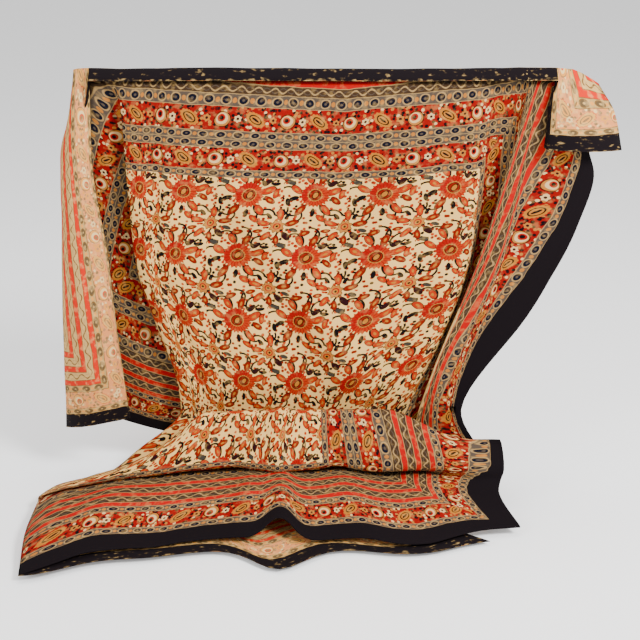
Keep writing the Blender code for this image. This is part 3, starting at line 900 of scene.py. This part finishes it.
class PanelColours(bpy.types.PropertyGroup):
    """Colours of the stage."""
    floor: bpy.props.FloatVectorProperty(
        name="Floor", description="The pale floor's colour", subtype="COLOR", size=4,
        default=(0.95, 0.95, 0.95, 1.0))
    wear: bpy.props.FloatProperty(
        name="Wear", description="How much the print has thinned", default=0.16, min=0, max=1,
        subtype="FACTOR")


class KALAMKARI_OT_cloth(bpy.types.Operator):
    """Makes the draped cloth, with its printed face and its paler back"""
    bl_idname = "kalamkari.cloth"
    bl_label = "Draped cloth"

    def execute(self, context):
        sizes, colours = context.scene.panel_sizes, context.scene.panel_colours
        bpy.ops.object.select_all(action="DESELECT")
        body, cloth, strip, flat = sheet_grid(sizes.column_step, sizes.rows, STRIP_ROWS)
        body, strip = finish_drape(body, cloth, strip, flat, sizes.ripple)
        points, faces, coords = sheet_mesh(body, strip, cloth, flat)
        mesh = bpy.data.meshes.new("printed_cloth")
        mesh.from_pydata([tuple(p) for p in points], [], faces)
        layer = mesh.uv_layers.new(name="flat_metres")
        for loop in mesh.loops:
            layer.data[loop.index].uv = coords[loop.vertex_index]
        mesh.update()
        piece = bpy.data.objects.new("printed_cloth", mesh)
        context.scene.collection.objects.link(piece)
        mesh.materials.append(printed_side("printed_face", FRONT_TONES, colours.wear))
        mesh.materials.append(printed_side("pale_back", BACK_TONES, BACK_WEAR, brushed=True))
        context.view_layer.objects.active = piece
        piece.select_set(True)
        wall = piece.modifiers.new("cotton", "SOLIDIFY")
        wall.thickness = sizes.thickness
        wall.offset = 0.0
        wall.material_offset = 1
        bpy.ops.object.modifier_apply(modifier="cotton")
        bpy.ops.object.shade_smooth()
        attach(piece, "root")
        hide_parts("cloth")
        return {"FINISHED"}


class KALAMKARI_OT_stage(bpy.types.Operator):
    """Makes the floor, the soft lights and the camera at the photograph's angle"""
    bl_idname = "kalamkari.stage"
    bl_label = "Stage"

    def execute(self, context):
        bpy.ops.object.select_all(action="DESELECT")
        bpy.ops.mesh.primitive_plane_add(size=FLOOR_SIZE, location=(0, 0, FLOOR - FLOOR_GAP))
        floor = context.active_object
        floor.name = "pale_floor"
        paint = bpy.data.materials.new("pale_floor")
        paint.use_nodes = True
        look = paint.node_tree.nodes["Principled BSDF"]
        look.inputs["Base Color"].default_value = context.scene.panel_colours.floor
        look.inputs["Roughness"].default_value = 0.9
        look.inputs["Emission Color"].default_value = (1, 1, 1, 1)
        look.inputs["Emission Strength"].default_value = FLOOR_GLOW
        floor.data.materials.append(paint)
        for name, place, size, power in LIGHTS:
            bpy.ops.object.light_add(type="AREA", location=place)
            lamp = context.active_object
            lamp.name = name
            lamp.data.shape = "DISK"
            lamp.data.size = size
            lamp.data.energy = power
            aim = Vector((0, -0.1, -0.55)) - Vector(place)
            lamp.rotation_euler = aim.to_track_quat("-Z", "Y").to_euler()
        sky = bpy.data.worlds.new("studio")
        sky.use_nodes = True
        sky.node_tree.nodes["Background"].inputs["Color"].default_value = (1, 1, 1, 1)
        sky.node_tree.nodes["Background"].inputs["Strength"].default_value = SKY_STRENGTH
        context.scene.world = sky
        bpy.ops.object.camera_add(location=CAMERA_PLACE)
        camera = context.active_object
        camera.name = "photo_camera"
        camera.rotation_euler = (math.radians(90 - CAMERA_PITCH), 0, 0)
        camera.data.lens = CAMERA_LENS
        camera.data.sensor_width = 36
        context.scene.camera = camera
        return {"FINISHED"}


class KALAMKARI_PT_panel(bpy.types.Panel):
    """Lists the pieces and the values behind them"""
    bl_label = "Kalamkari Panel"
    bl_idname = "KALAMKARI_PT_panel"
    bl_space_type = "VIEW_3D"
    bl_region_type = "UI"
    bl_category = "Panel"

    def draw(self, context):
        layout = self.layout
        for operator in (KALAMKARI_OT_cloth, KALAMKARI_OT_stage):
            layout.operator(operator.bl_idname)
        for group in (context.scene.panel_sizes, context.scene.panel_colours):
            for name in group.bl_rna.properties.keys():
                if name not in ("rna_type", "name"):
                    layout.prop(group, name)


CLASSES = (PanelSizes, PanelColours, KALAMKARI_OT_cloth, KALAMKARI_OT_stage, KALAMKARI_PT_panel)


def register():
    for one in CLASSES:
        bpy.utils.register_class(one)
    bpy.types.Scene.panel_sizes = bpy.props.PointerProperty(type=PanelSizes)
    bpy.types.Scene.panel_colours = bpy.props.PointerProperty(type=PanelColours)


def unregister():
    del bpy.types.Scene.panel_sizes
    del bpy.types.Scene.panel_colours
    for one in reversed(CLASSES):
        bpy.utils.unregister_class(one)


def main():
    register()
    bpy.ops.kalamkari.cloth()
    bpy.ops.kalamkari.stage()


if __name__ == "__main__":
    main()
